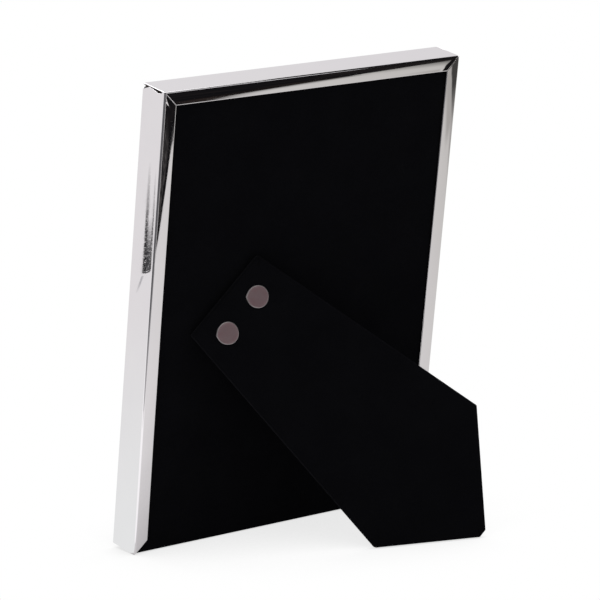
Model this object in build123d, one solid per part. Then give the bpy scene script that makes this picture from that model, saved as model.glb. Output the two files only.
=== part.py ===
from build123d import *
import os
from math import cos, radians, sin

# Driving dimensions, in millimetres and degrees.
# The frame is first built upright: X to the right seen from the front, Y from front to back, Z up,
# with the middle of its rear bottom edge at the origin. It is then leaned back on that edge.

# Picture, glass and what lies behind them
PICTURE_WIDTH = 130.0
PICTURE_HEIGHT = 180.0
GLASS_THICKNESS = 2.0
SHEET_THICKNESS = 0.3
GLASS_PLAY = 0.5

# Rails: a bent plated strip with a front face, a wall and a rear lip
STRIP = 1.0
LIP_WIDTH = 6.2
FRAME_DEPTH = 16.0
SIGHT_OVERLAP = 2.5
RETURN_DEPTH = 3.6
REAR_EDGE_RADIUS = 1.0
FRONT_EDGE_RADIUS = 1.2
SIGHT_EDGE_RADIUS = 0.8
LIP_EDGE_RADIUS = 0.4

# Core strips inside the rails
CORE_WIDTH = 10.0

# Sliding back panel
VELVET = 0.5
BACK_BOARD = 2.7
LINER = 0.3
LIP_CLEARANCE = 0.1
CORE_CLEARANCE = 0.2
SIDE_CLEARANCE = 0.4
PANEL_LIFT = 0.3

# Strut: its top end is a straight edge on the hinge line, its foot has two flats that meet in a point
LEAN = 7.5
STRUT_OPENING = 25.0
HINGE_ANGLE = 45.0
HINGE_ASIDE = 34.8
HINGE_HEIGHT = 106.6
STRUT_TOP_WIDTH = 44.0
STRUT_FOOT_WIDTH = 75.0
SIDE_FLAT_REACH = 148.8
TIP_CLIP = 2.0
STRUT_BOARD = 2.6
STOP_CLEARANCE = 0.2

# Hinge between the panel and the strut
LEAF_THICKNESS = 0.5
LEAF_WIDTH = 34.0
LEAF_LENGTH = 19.0
MIDDLE_KNUCKLE = 11.0
KNUCKLE_GAP = 0.3
HINGE_OFFSET = -1.4
PIN_DIAMETER = 1.2
PIN_CLEARANCE = 0.05
PIN_HEAD_DIAMETER = 1.8
PIN_HEAD = 0.4
KNUCKLE_CLEARANCE = 0.3

# Rivets
RIVET_SPACING = 20.0
RIVET_DROP = 4.9
RIVET_HEAD_DIAMETER = 10.0
RIVET_HEAD = 0.8
RIVET_HEAD_EDGE = 0.3
RIVET_SHANK_DIAMETER = 3.0
RIVET_TAIL_DIAMETER = 4.6
RIVET_TAIL = 0.5
RIVET_PLAY = 0.1
FLAT_RIVET_SPACING = 18.0
FLAT_RIVET_EDGE = 4.5
FLAT_RIVET_HEAD_DIAMETER = 6.0
FLAT_RIVET_HEAD = 0.6
FLAT_RIVET_SPREAD = 1.2

# Worked out from the above: the frame's outside
BORDER = STRIP + CORE_WIDTH + GLASS_PLAY
FRAME_WIDTH = PICTURE_WIDTH + 2 * BORDER
FRAME_HEIGHT = PICTURE_HEIGHT + 2 * BORDER
FACE_WIDTH = BORDER + SIGHT_OVERLAP

# Worked out: depths from the frame's rear plane towards the front
VELVET_DEPTH = STRIP + LIP_CLEARANCE
BOARD_DEPTH = VELVET_DEPTH + VELVET
LINER_DEPTH = BOARD_DEPTH + BACK_BOARD
CORE_DEPTH = LINER_DEPTH + LINER + CORE_CLEARANCE
FACE_BACK_DEPTH = FRAME_DEPTH - STRIP
GLASS_FRONT_DEPTH = FRAME_DEPTH - RETURN_DEPTH
SHEET_FRONT_DEPTH = GLASS_FRONT_DEPTH - GLASS_THICKNESS
PAD_FRONT_DEPTH = SHEET_FRONT_DEPTH - SHEET_THICKNESS

# Worked out: hinge and strut, from the hinge axis outwards
BORE_RADIUS = PIN_DIAMETER / 2 + PIN_CLEARANCE
KNUCKLE_RADIUS = BORE_RADIUS + LEAF_THICKNESS
AXIS_OFFSET = KNUCKLE_RADIUS + KNUCKLE_CLEARANCE
LINING_LEVEL = AXIS_OFFSET
STRUT_BOARD_LEVEL = LINING_LEVEL + LINER
STRUT_VELVET_LEVEL = STRUT_BOARD_LEVEL + STRUT_BOARD
STRUT_OUTER_LEVEL = STRUT_VELVET_LEVEL + VELVET
AXIS_DEPTH = VELVET_DEPTH - AXIS_OFFSET

# The strut's heel, above the hinge axis, all but meets the velvet when the strut is open
STOP_REACH = AXIS_OFFSET - STOP_CLEARANCE + LINING_LEVEL * cos(radians(STRUT_OPENING))
HEEL = STOP_REACH / sin(radians(STRUT_OPENING))

# The floor touches the rounded rear corners of the leaning frame
FLOOR_LEVEL = REAR_EDGE_RADIUS * (cos(radians(LEAN)) + sin(radians(LEAN)) - 1)

# Directions of the hinge line, of the strut's outward normal and of the way up the strut
TURN = radians(HINGE_ANGLE)
OPEN = radians(STRUT_OPENING)
HINGE_LINE = Vector(-sin(TURN), 0, cos(TURN))
CLOSED_NORMAL = Vector(0, 1, 0)
STRUT_NORMAL = Vector(sin(OPEN) * cos(TURN), cos(OPEN), sin(OPEN) * sin(TURN))
STRUT_UP = STRUT_NORMAL.cross(HINGE_LINE)

HINGE_POINT = Vector(HINGE_ASIDE, -AXIS_DEPTH, HINGE_HEIGHT)
CLOSED_PLANE = Plane(HINGE_POINT, x_dir=HINGE_LINE, z_dir=CLOSED_NORMAL)
STRUT_PLANE = Plane(HINGE_POINT, x_dir=HINGE_LINE, z_dir=STRUT_NORMAL)


def block(x_range, y_range, z_range):
    """A box between two values along each axis."""
    size = [high - low for low, high in (x_range, y_range, z_range)]
    middle = [(high + low) / 2 for low, high in (x_range, y_range, z_range)]
    return Pos(*middle) * Box(*size)


def slab(width, bottom, top, near, far):
    """An upright sheet, centred across the frame, between two heights and two depths."""
    return block((-width / 2, width / 2), (-far, -near), (bottom, top))


def prism(points, low, high):
    """A straight prism on a closed outline, between two levels."""
    outline = make_face(Polyline(*points, close=True))
    return extrude(Pos(0, 0, low) * outline, amount=high - low)


def disc(x, y, diameter, low, high):
    """A short cylinder that stands at a point, between two levels."""
    return Pos(x, y, (low + high) / 2) * Cylinder(diameter / 2, high - low)


def bar(diameter, start, end):
    """A round bar along the hinge line."""
    return Pos((start + end) / 2, 0, 0) * Rot(Y=90) * Cylinder(diameter / 2, end - start)


# Rails

def rail_section(has_lip):
    """The strip's section: inwards from the wall, and forwards from the frame's rear plane."""
    inner_face = FACE_WIDTH - STRIP
    if has_lip:
        rear = [(0, 0), (LIP_WIDTH, 0), (LIP_WIDTH, STRIP), (STRIP, STRIP)]
    else:
        rear = [(0, CORE_DEPTH), (STRIP, CORE_DEPTH)]
    front = [
        (STRIP, FACE_BACK_DEPTH),
        (inner_face, FACE_BACK_DEPTH),
        (inner_face, GLASS_FRONT_DEPTH),
        (FACE_WIDTH, GLASS_FRONT_DEPTH),
        (FACE_WIDTH, FRAME_DEPTH),
        (0, FRAME_DEPTH),
    ]
    section = make_face(Polyline(*rear, *front, close=True))
    rounds = [((0, FRAME_DEPTH), FRONT_EDGE_RADIUS), ((FACE_WIDTH, FRAME_DEPTH), SIGHT_EDGE_RADIUS)]
    if has_lip:
        rounds += [((0, 0), REAR_EDGE_RADIUS), ((LIP_WIDTH, 0), LIP_EDGE_RADIUS)]
    for corner, radius in rounds:
        section = fillet(section.vertices().sort_by_distance(corner)[0], radius)
    return section


def rail(length, has_lip):
    """A rail along X with both ends mitred; Y is inwards and Z is forwards."""
    half = length / 2
    strip = extrude(Plane.YZ * rail_section(has_lip), amount=half, both=True)
    short_half = half - FACE_WIDTH
    mitre = [(-half, 0), (half, 0), (short_half, FACE_WIDTH), (-short_half, FACE_WIDTH)]
    return strip & prism(mitre, 0, FRAME_DEPTH)


def rail_place(origin, along):
    """Where a rail lies: its wall's middle, and the direction of its length."""
    return Plane(origin, x_dir=along, z_dir=(0, -1, 0))


def make_rails():
    half_width = FRAME_WIDTH / 2
    half_height = FRAME_HEIGHT / 2
    top = rail_place((0, 0, FRAME_HEIGHT), (-1, 0, 0))
    bottom = rail_place((0, 0, 0), (1, 0, 0))
    right = rail_place((half_width, 0, half_height), (0, 0, 1))
    left = rail_place((-half_width, 0, half_height), (0, 0, -1))
    return {
        "top_rail": top * rail(FRAME_WIDTH, True),
        "bottom_rail": bottom * rail(FRAME_WIDTH, False),
        "right_rail": right * rail(FRAME_HEIGHT, True),
        "left_rail": left * rail(FRAME_HEIGHT, True),
    }


# Core strips: the top and bottom ones run through, the side ones stand between them

def make_core():
    inside = FRAME_WIDTH - 2 * STRIP
    low = STRIP + CORE_WIDTH
    high = FRAME_HEIGHT - low
    side = (inside / 2 - CORE_WIDTH, inside / 2)
    depth = (-FACE_BACK_DEPTH, -CORE_DEPTH)
    return {
        "core_top": slab(inside, high, FRAME_HEIGHT - STRIP, CORE_DEPTH, FACE_BACK_DEPTH),
        "core_bottom": slab(inside, STRIP, low, CORE_DEPTH, FACE_BACK_DEPTH),
        "core_right": block(side, depth, (low, high)),
        "core_left": block((-side[1], -side[0]), depth, (low, high)),
    }


# Glass, blank picture and pad, from front to back

def make_picture():
    bottom = BORDER
    top = BORDER + PICTURE_HEIGHT
    return {
        "glass": slab(PICTURE_WIDTH, bottom, top, SHEET_FRONT_DEPTH, GLASS_FRONT_DEPTH),
        "insert_sheet": slab(PICTURE_WIDTH, bottom, top, PAD_FRONT_DEPTH, SHEET_FRONT_DEPTH),
        "backing_pad": slab(PICTURE_WIDTH, bottom, top, CORE_DEPTH, PAD_FRONT_DEPTH),
    }


# Rivets, drawn with the strut or panel face level and the hinge line along X

def rivet_places(spacing, drop):
    """Centres of a pair of rivets below the hinge axis."""
    return [(HINGE_OFFSET + side * spacing / 2, -drop) for side in (-1, 1)]


STRUT_RIVET_PLACES = rivet_places(RIVET_SPACING, RIVET_DROP)
FLAT_RIVET_PLACES = rivet_places(FLAT_RIVET_SPACING, LEAF_LENGTH - FLAT_RIVET_EDGE)
LEAF_INNER_LEVEL = LINING_LEVEL - LEAF_THICKNESS
PANEL_BACK_LEVEL = -AXIS_OFFSET - VELVET - BACK_BOARD


def shank_holes(places, low, high):
    """Holes that the rivets' shanks pass through with a little play."""
    diameter = RIVET_SHANK_DIAMETER + 2 * RIVET_PLAY
    return [disc(x, y, diameter, low, high) for x, y in places]


def strut_rivet(x, y):
    """A broad flat head on the velvet, a shank through the strut and a tail under the leaf."""
    head = disc(x, y, RIVET_HEAD_DIAMETER, STRUT_OUTER_LEVEL, STRUT_OUTER_LEVEL + RIVET_HEAD)
    head = fillet(head.edges().sort_by(Axis.Z)[-1], RIVET_HEAD_EDGE)
    shank = disc(x, y, RIVET_SHANK_DIAMETER, LEAF_INNER_LEVEL, STRUT_OUTER_LEVEL)
    tail = disc(x, y, RIVET_TAIL_DIAMETER, LEAF_INNER_LEVEL - RIVET_TAIL, LEAF_INNER_LEVEL)
    return head + shank + tail


def flat_rivet(x, y):
    """A thin head on the hinge leaf, and a shank that ends in a spread tail flush in the board."""
    leaf_level = -AXIS_OFFSET + LEAF_THICKNESS
    head = disc(x, y, FLAT_RIVET_HEAD_DIAMETER, leaf_level, leaf_level + FLAT_RIVET_HEAD)
    shank = disc(x, y, RIVET_SHANK_DIAMETER, PANEL_BACK_LEVEL, leaf_level)
    return head + shank + spread_tail(x, y, 0)


def spread_tail(x, y, play):
    """The cone at the end of a flat rivet, or its seat in the board when play is added."""
    narrow = RIVET_SHANK_DIAMETER / 2 + play
    wide = RIVET_TAIL_DIAMETER / 2 + play
    middle = PANEL_BACK_LEVEL + FLAT_RIVET_SPREAD / 2
    return Pos(x, y, middle) * Cone(wide, narrow, FLAT_RIVET_SPREAD)


def make_rivets():
    strut_pair = [STRUT_PLANE * strut_rivet(x, y) for x, y in STRUT_RIVET_PLACES]
    flat_pair = [CLOSED_PLANE * flat_rivet(x, y) for x, y in FLAT_RIVET_PLACES]
    return {
        "strut_rivets": Part() + strut_pair,
        "hinge_back_rivets": Part() + flat_pair,
    }


# Hinge: two leaves face each other, and the strut's leaf has the middle knuckle

def knuckle_spans():
    """Stretches of the hinge line taken by the middle knuckle and by the two outer ones."""
    middle = MIDDLE_KNUCKLE / 2
    outer = LEAF_WIDTH / 2
    near = middle + KNUCKLE_GAP
    spans = {"middle": [(-middle, middle)], "outer": [(-outer, -near), (near, outer)]}
    return {
        name: [(HINGE_OFFSET + start, HINGE_OFFSET + end) for start, end in stretches]
        for name, stretches in spans.items()
    }


def hinge_leaf(own_spans, other_spans, side, rivets):
    """A leaf on one side of the axis, with its knuckles, cut back where the other leaf's run."""
    face = sorted((side * AXIS_OFFSET, side * (AXIS_OFFSET - LEAF_THICKNESS)))
    across = (HINGE_OFFSET - LEAF_WIDTH / 2, HINGE_OFFSET + LEAF_WIDTH / 2)
    leaf = block(across, (-LEAF_LENGTH, 0), face)
    clear = KNUCKLE_RADIUS + KNUCKLE_CLEARANCE
    for start, end in other_spans:
        leaf -= block((start - KNUCKLE_GAP, end + KNUCKLE_GAP), (-clear, clear), face)
    for start, end in own_spans:
        root = sorted((0, side * AXIS_OFFSET))
        leaf += bar(2 * KNUCKLE_RADIUS, start, end)
        leaf += block((start, end), (-KNUCKLE_RADIUS, 0), root)
        leaf -= bar(2 * BORE_RADIUS, start, end)
    return leaf - shank_holes(rivets, *face)


def make_hinge():
    spans = knuckle_spans()
    start = HINGE_OFFSET - LEAF_WIDTH / 2
    end = HINGE_OFFSET + LEAF_WIDTH / 2
    pin = bar(PIN_DIAMETER, start - PIN_HEAD, end + PIN_HEAD)
    pin += bar(PIN_HEAD_DIAMETER, start - PIN_HEAD, start)
    pin += bar(PIN_HEAD_DIAMETER, end, end + PIN_HEAD)
    back_leaf = hinge_leaf(spans["outer"], spans["middle"], -1, FLAT_RIVET_PLACES)
    strut_leaf = hinge_leaf(spans["middle"], spans["outer"], 1, STRUT_RIVET_PLACES)
    return {
        "hinge_back_leaf": CLOSED_PLANE * back_leaf,
        "hinge_strut_leaf": STRUT_PLANE * strut_leaf,
        "hinge_pin": CLOSED_PLANE * pin,
    }


# Back panel: velvet over the rear face and all four edges of a board, paper on its inner face

def make_panel():
    width = FRAME_WIDTH - 2 * (STRIP + SIDE_CLEARANCE)
    top = FRAME_HEIGHT - STRIP - SIDE_CLEARANCE
    board_width = width - 2 * VELVET
    board_bottom = PANEL_LIFT + VELVET
    board_top = top - VELVET
    board = slab(board_width, board_bottom, board_top, BOARD_DEPTH, LINER_DEPTH)
    liner = slab(board_width, board_bottom, board_top, LINER_DEPTH, LINER_DEPTH + LINER)
    velvet = slab(width, PANEL_LIFT, top, VELVET_DEPTH, LINER_DEPTH + LINER) - board - liner
    holes = shank_holes(FLAT_RIVET_PLACES, PANEL_BACK_LEVEL, -AXIS_OFFSET)
    seats = [spread_tail(x, y, RIVET_PLAY) for x, y in FLAT_RIVET_PLACES]
    board -= [CLOSED_PLANE * cut for cut in holes + seats]
    velvet -= [CLOSED_PLANE * cut for cut in holes]
    return {"back_board": board, "back_velvet": velvet, "back_liner": liner}


# Strut: a tapered board with a pointed foot, velvet outside and paper inside

def floor_line():
    """The foot's floor flat in strut coordinates: its slope, and its height on the strut's middle."""
    lean = radians(LEAN)
    up = Vector(0, -sin(lean), cos(lean))
    per_x = up.dot(HINGE_LINE)
    per_y = up.dot(STRUT_UP)
    per_level = up.dot(STRUT_NORMAL)
    rest = up.dot(HINGE_POINT) + per_level * LINING_LEVEL - FLOOR_LEVEL
    return -per_x / per_y, -rest / per_y


def strut_outline():
    """Corners of the strut, with its flats on the floor and, turned a quarter, on the other side."""
    slope, floor_start = floor_line()
    half_top = STRUT_TOP_WIDTH / 2
    half_foot = STRUT_FOOT_WIDTH / 2
    tip_x = -(SIDE_FLAT_REACH + floor_start) / (2 * slope)
    tip_y = floor_start + slope * tip_x
    clip = TIP_CLIP / abs(slope)
    return [
        (-half_top, HEEL),
        (-half_foot, floor_start - slope * half_foot),
        (tip_x - clip, tip_y + TIP_CLIP),
        (tip_x + clip, tip_y + TIP_CLIP),
        (half_foot, -SIDE_FLAT_REACH - slope * half_foot),
        (half_top, HEEL),
    ]


def make_strut():
    outside = make_face(Polyline(*strut_outline(), close=True))
    inside = offset(outside, -VELVET, kind=Kind.INTERSECTION)
    board = extrude(Pos(0, 0, STRUT_BOARD_LEVEL) * inside, amount=STRUT_BOARD)
    lining = extrude(Pos(0, 0, LINING_LEVEL) * inside, amount=LINER)
    velvet = extrude(Pos(0, 0, LINING_LEVEL) * outside, amount=STRUT_OUTER_LEVEL - LINING_LEVEL)
    velvet = velvet - board - lining
    holes = shank_holes(STRUT_RIVET_PLACES, LINING_LEVEL, STRUT_OUTER_LEVEL)
    return {
        "strut_board": STRUT_PLANE * (board - holes),
        "strut_lining": STRUT_PLANE * (lining - holes),
        "strut_velvet": STRUT_PLANE * (velvet - holes),
    }


# The whole frame, leaned back, with the middle of its footprint on the floor as the origin

upright = {
    **make_rails(),
    **make_core(),
    **make_picture(),
    **make_panel(),
    **make_hinge(),
    **make_rivets(),
    **make_strut(),
}
leaning = {name: Rot(X=-LEAN) * shape for name, shape in upright.items()}
bounds = Compound(children=list(leaning.values())).bounding_box()
footprint = Vector(bounds.center().X, bounds.center().Y, bounds.min.Z)
place = Pos(-footprint.X, -footprint.Y, -footprint.Z) * Rot(X=-LEAN)

os.makedirs("parts", exist_ok=True)
for name, shape in upright.items():
    export_step(place * shape, f"parts/{name}.step")

hinge = place * Pos(*HINGE_POINT)
print("footprint middle before the move", footprint)
print("hinge point", hinge.position)
print("overall size", bounds.size)
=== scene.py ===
from math import acos, cos, copysign, pi, radians, sin, sqrt, tan

import bmesh
import bpy
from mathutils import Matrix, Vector, noise


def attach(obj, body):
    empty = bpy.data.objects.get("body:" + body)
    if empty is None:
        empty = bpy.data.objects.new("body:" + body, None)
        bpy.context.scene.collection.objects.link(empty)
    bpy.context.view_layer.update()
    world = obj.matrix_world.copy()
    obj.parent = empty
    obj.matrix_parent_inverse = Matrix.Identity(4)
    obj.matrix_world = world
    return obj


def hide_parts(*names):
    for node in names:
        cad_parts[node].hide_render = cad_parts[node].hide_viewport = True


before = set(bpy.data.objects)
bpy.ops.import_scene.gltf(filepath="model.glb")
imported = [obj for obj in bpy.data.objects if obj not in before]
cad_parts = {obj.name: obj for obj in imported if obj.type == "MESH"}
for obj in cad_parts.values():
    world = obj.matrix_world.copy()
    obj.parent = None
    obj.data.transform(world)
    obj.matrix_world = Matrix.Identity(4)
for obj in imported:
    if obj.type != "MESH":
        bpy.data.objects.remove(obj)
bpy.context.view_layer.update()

# Sizes are in millimetres, as the frame is drawn, and turned to metres where a point is placed.
MM = 0.001

# The frame leans back; its rear bottom edge lies off the middle of the footprint.
LEAN = radians(7.5)
FOOT_BACK = 26.5195
FOOT_LOW = 0.121971

# Rails: a bent strip with a face, a wall and a rear lip.
FRAME_WIDTH = 153.0
FRAME_HEIGHT = 203.0
FRAME_DEPTH = 16.0
STRIP = 1.0
LIP_WIDTH = 6.2
FACE_WIDTH = 14.0
SIGHT_RETURN = 3.6
CORE_DEPTH = 4.8

# Back panel under the lips.
PANEL_WIDTH = 150.2
PANEL_LOW = 0.3
PANEL_HIGH = 201.6
PANEL_OUTER = 1.1
PANEL_INNER = 4.6
VELVET = 0.5

# Strut, measured from its hinge line: along the line, up the strut, and out from the axis.
HINGE_AT = Vector((34.8, 0.35, 106.6))
HINGE_TURN = radians(45.0)
STRUT_OPEN = radians(25.0)
STRUT_INNER = 1.45
STRUT_OUTER = 4.85
STRUT_CORNERS = [
    (-22.0, 6.074),
    (-37.5, -115.22),
    (-4.19, -149.11),
    (-0.21, -149.11),
    (37.5, -110.74),
    (22.0, 6.074),
]
RIVET_PLACES = [(-11.4, -4.9), (8.6, -4.9)]
RIVET_RADIUS = 5.0


def on_frame(across, up, depth):
    """A point of the leaning frame: across, up from its bottom edge, forwards from its rear."""
    back = up * sin(LEAN) - depth * cos(LEAN) - FOOT_BACK
    high = up * cos(LEAN) + depth * sin(LEAN) - FOOT_LOW
    return Vector((across, back, high)) * MM


HINGE_LINE = Vector((-sin(HINGE_TURN), 0, cos(HINGE_TURN)))
STRUT_NORMAL = Vector((
    sin(STRUT_OPEN) * cos(HINGE_TURN),
    cos(STRUT_OPEN),
    sin(STRUT_OPEN) * sin(HINGE_TURN),
))
STRUT_UP = STRUT_NORMAL.cross(HINGE_LINE)


def on_strut(along, up, level):
    """A point of the open strut, in its own three directions from the hinge line."""
    point = HINGE_AT + along * HINGE_LINE + up * STRUT_UP + level * STRUT_NORMAL
    return on_frame(point.x, point.z, -point.y)


# Colours and nodes

def colour(code):
    """Linear colour with alpha from an sRGB hex value."""
    shares = [int(code[i:i + 2], 16) / 255 for i in (1, 3, 5)]
    linear = [s / 12.92 if s <= 0.04045 else ((s + 0.055) / 1.055) ** 2.4 for s in shares]
    return (*linear, 1.0)


def add(tree, kind, sockets=(), **settings):
    """Adds a node, sets its own properties, and fills its sockets with values or links."""
    node = tree.nodes.new(kind)
    for name, value in settings.items():
        setattr(node, name, value)
    for name, value in dict(sockets).items():
        if isinstance(value, bpy.types.NodeSocket):
            tree.links.new(value, node.inputs[name])
        else:
            node.inputs[name].default_value = value
    return node


def new_material(name):
    """An empty node material with its output, ready for a shader."""
    material = bpy.data.materials.new(name)
    material.use_nodes = True
    material.node_tree.nodes.clear()
    output = material.node_tree.nodes.new("ShaderNodeOutputMaterial")
    return material, material.node_tree, output.inputs["Surface"]


def patterned(name):
    """A new material, with the piece's own coordinates for its patterns."""
    material, tree, surface = new_material(name)
    return material, tree, surface, add(tree, "ShaderNodeTexCoord").outputs["Object"]


# Mix node sockets for colours, by place.
FACTOR, FIRST, SECOND, MIXED = 0, 6, 7, 2


def plated_steel(name, stretch):
    """Bright nickel plate on polished, bent steel strip: a mirror that the rolling of the strip
    has left slightly wavy along its length, with hairline buffing marks and a few dull smears."""
    material, tree, surface, place = patterned(name)
    turned = add(tree, "ShaderNodeMapping", {"Vector": place, "Rotation": (LEAN, 0, 0)})
    drawn = add(tree, "ShaderNodeMapping", {"Vector": turned.outputs[0], "Scale": stretch})
    # Rolling waves about 7 mm across.
    wave = add(tree, "ShaderNodeTexNoise", {
        "Vector": drawn.outputs[0], "Scale": 140.0, "Detail": 1.0})
    # Buffing hairlines about 0.5 mm apart, coarser than real ones so that they show.
    hair = add(tree, "ShaderNodeTexNoise", {
        "Vector": drawn.outputs[0], "Scale": 2000.0, "Detail": 3.0, "Roughness": 0.6})
    # Dull smears 15 mm across.
    smear = add(tree, "ShaderNodeTexNoise", {
        "Vector": turned.outputs[0], "Scale": 65.0, "Detail": 5.0, "Roughness": 0.65})
    rough = add(tree, "ShaderNodeMapRange", {
        "Value": smear.outputs["Fac"], "From Min": 0.35, "From Max": 0.75,
        "To Min": 0.02, "To Max": 0.06})
    bent = add(tree, "ShaderNodeBump", {
        "Height": wave.outputs["Fac"], "Strength": 1.0, "Distance": 0.00001})
    buffed = add(tree, "ShaderNodeBump", {
        "Height": hair.outputs["Fac"], "Strength": 1.0, "Distance": 0.0000006,
        "Normal": bent.outputs[0]})
    tint = add(tree, "ShaderNodeMix", {
        FACTOR: smear.outputs["Fac"], FIRST: colour("#DDDADC"), SECOND: colour("#D8D5D8")},
        data_type="RGBA")
    shader = add(tree, "ShaderNodeBsdfPrincipled", {
        "Base Color": tint.outputs[MIXED], "Metallic": 1.0,
        "Roughness": rough.outputs[0], "Normal": buffed.outputs[0]})
    tree.links.new(shader.outputs[0], surface)
    return material


def slit_shaded_steel():
    """Sawn mitre ends and the inside of the strip, which the plating did not reach: dull steel with
    saw marks and the brown bloom of the solder's flux, darkened nearly to black as painted shade
    inside the strip and in the corner slit."""
    material, tree, surface, place = patterned("unplated_steel_painted_shade")
    # Bloom in spots of 1.5 mm, and saw marks 0.3 mm apart.
    bloom = add(tree, "ShaderNodeTexNoise", {"Vector": place, "Scale": 650.0, "Detail": 3.0})
    saw = add(tree, "ShaderNodeTexNoise", {"Vector": place, "Scale": 3300.0, "Detail": 2.0})
    # Both colours are darkened nearly to black as painted shade.
    tint = add(tree, "ShaderNodeMix", {
        FACTOR: bloom.outputs["Fac"], FIRST: colour("#1C1A1A"), SECOND: colour("#2C2622")},
        data_type="RGBA")
    marked = add(tree, "ShaderNodeBump", {
        "Height": saw.outputs["Fac"], "Strength": 1.0, "Distance": 0.00003})
    shader = add(tree, "ShaderNodeBsdfPrincipled", {
        "Base Color": tint.outputs[MIXED], "Metallic": 0.4, "Roughness": 0.7,
        "Normal": marked.outputs[0]})
    tree.links.new(shader.outputs[0], surface)
    return material


def black_velvet():
    """Short pile cotton velvet: nearly black from above, a faint grey sheen where it is seen
    along the pile, and soft patches where the nap was stroked one way or the other."""
    material, tree, surface, place = patterned("black_cotton_velvet")
    # Tufts 0.45 mm apart.
    tuft = add(tree, "ShaderNodeTexNoise", {
        "Vector": place, "Scale": 2200.0, "Detail": 2.0, "Roughness": 0.7})
    # Stroked patches about 18 mm across.
    nap = add(tree, "ShaderNodeTexNoise", {
        "Vector": place, "Scale": 55.0, "Detail": 3.0, "Roughness": 0.55})
    shade = add(tree, "ShaderNodeMix", {
        FACTOR: nap.outputs["Fac"], FIRST: colour("#08080A"), SECOND: colour("#0D0D0F")},
        data_type="RGBA")
    pile = add(tree, "ShaderNodeBump", {
        "Height": tuft.outputs["Fac"], "Strength": 1.0, "Distance": 0.00025})
    shader = add(tree, "ShaderNodeBsdfPrincipled", {
        "Base Color": shade.outputs[MIXED], "Roughness": 1.0, "Specular IOR Level": 0.0,
        "Sheen Weight": 0.024, "Sheen Roughness": 0.4, "Sheen Tint": colour("#C8C8D4"),
        "Normal": pile.outputs[0]})
    tree.links.new(shader.outputs[0], surface)
    return material


def dull_nickel(name, light, dark):
    """Nickel plated brass rivet heads, pressed by a die: a satin grey with a warm cast, with fine
    tumbling grain and small dings from the press. A paler copy on the rim is partly rubbed wear and
    partly a painted highlight."""
    material, tree, surface, place = patterned(name)
    # Tumbling grain 0.3 mm.
    grain = add(tree, "ShaderNodeTexNoise", {
        "Vector": place, "Scale": 3200.0, "Detail": 3.0, "Roughness": 0.6})
    # Dings 4 mm apart.
    ding = add(tree, "ShaderNodeTexNoise", {"Vector": place, "Scale": 260.0, "Detail": 3.0})
    tint = add(tree, "ShaderNodeMix", {
        FACTOR: ding.outputs["Fac"], FIRST: colour(light), SECOND: colour(dark)},
        data_type="RGBA")
    rough = add(tree, "ShaderNodeMapRange", {
        "Value": grain.outputs["Fac"], "To Min": 0.5, "To Max": 0.68})
    pressed = add(tree, "ShaderNodeBump", {
        "Height": ding.outputs["Fac"], "Strength": 1.0, "Distance": 0.0001})
    tumbled = add(tree, "ShaderNodeBump", {
        "Height": grain.outputs["Fac"], "Strength": 1.0, "Distance": 0.00001,
        "Normal": pressed.outputs[0]})
    shader = add(tree, "ShaderNodeBsdfPrincipled", {
        "Base Color": tint.outputs[MIXED], "Metallic": 1.0,
        "Roughness": rough.outputs[0], "Normal": tumbled.outputs[0]})
    tree.links.new(shader.outputs[0], surface)
    return material


def zinc_steel():
    """Zinc plated sheet steel, stamped and rolled: satin grey with pale crystals and fine
    drawing lines."""
    material, tree, surface, place = patterned("zinc_plated_steel")
    # Zinc crystals 1.5 mm across.
    crystal = add(tree, "ShaderNodeTexVoronoi", {"Vector": place, "Scale": 650.0})
    # Drawing lines 0.2 mm apart, long across the hinge.
    drawn = add(tree, "ShaderNodeMapping", {"Vector": place, "Scale": (1.0, 1.0, 0.06)})
    line = add(tree, "ShaderNodeTexNoise", {
        "Vector": drawn.outputs[0], "Scale": 5000.0, "Detail": 2.0})
    tint = add(tree, "ShaderNodeMix", {
        FACTOR: crystal.outputs["Distance"], FIRST: colour("#B9BBBE"), SECOND: colour("#A8AAAE")},
        data_type="RGBA")
    rough = add(tree, "ShaderNodeMapRange", {
        "Value": crystal.outputs["Distance"], "To Min": 0.28, "To Max": 0.45})
    scored = add(tree, "ShaderNodeBump", {
        "Height": line.outputs["Fac"], "Strength": 1.0, "Distance": 0.000008})
    shader = add(tree, "ShaderNodeBsdfPrincipled", {
        "Base Color": tint.outputs[MIXED], "Metallic": 1.0,
        "Roughness": rough.outputs[0], "Normal": scored.outputs[0]})
    tree.links.new(shader.outputs[0], surface)
    return material


def float_glass():
    """Float glass, cut and wiped: clear with a trace of green, and faint wiping marks that only
    dull its gloss."""
    material, tree, surface, place = patterned("float_glass")
    # Wiping marks 25 mm across.
    wiped = add(tree, "ShaderNodeTexNoise", {
        "Vector": place, "Scale": 40.0, "Detail": 4.0, "Roughness": 0.6})
    rough = add(tree, "ShaderNodeMapRange", {
        "Value": wiped.outputs["Fac"], "From Min": 0.45, "From Max": 0.8,
        "To Min": 0.0, "To Max": 0.05})
    shader = add(tree, "ShaderNodeBsdfPrincipled", {
        "Base Color": colour("#FBFDFC"), "Roughness": rough.outputs[0], "IOR": 1.52,
        "Transmission Weight": 1.0})
    tree.links.new(shader.outputs[0], surface)
    return material


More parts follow.
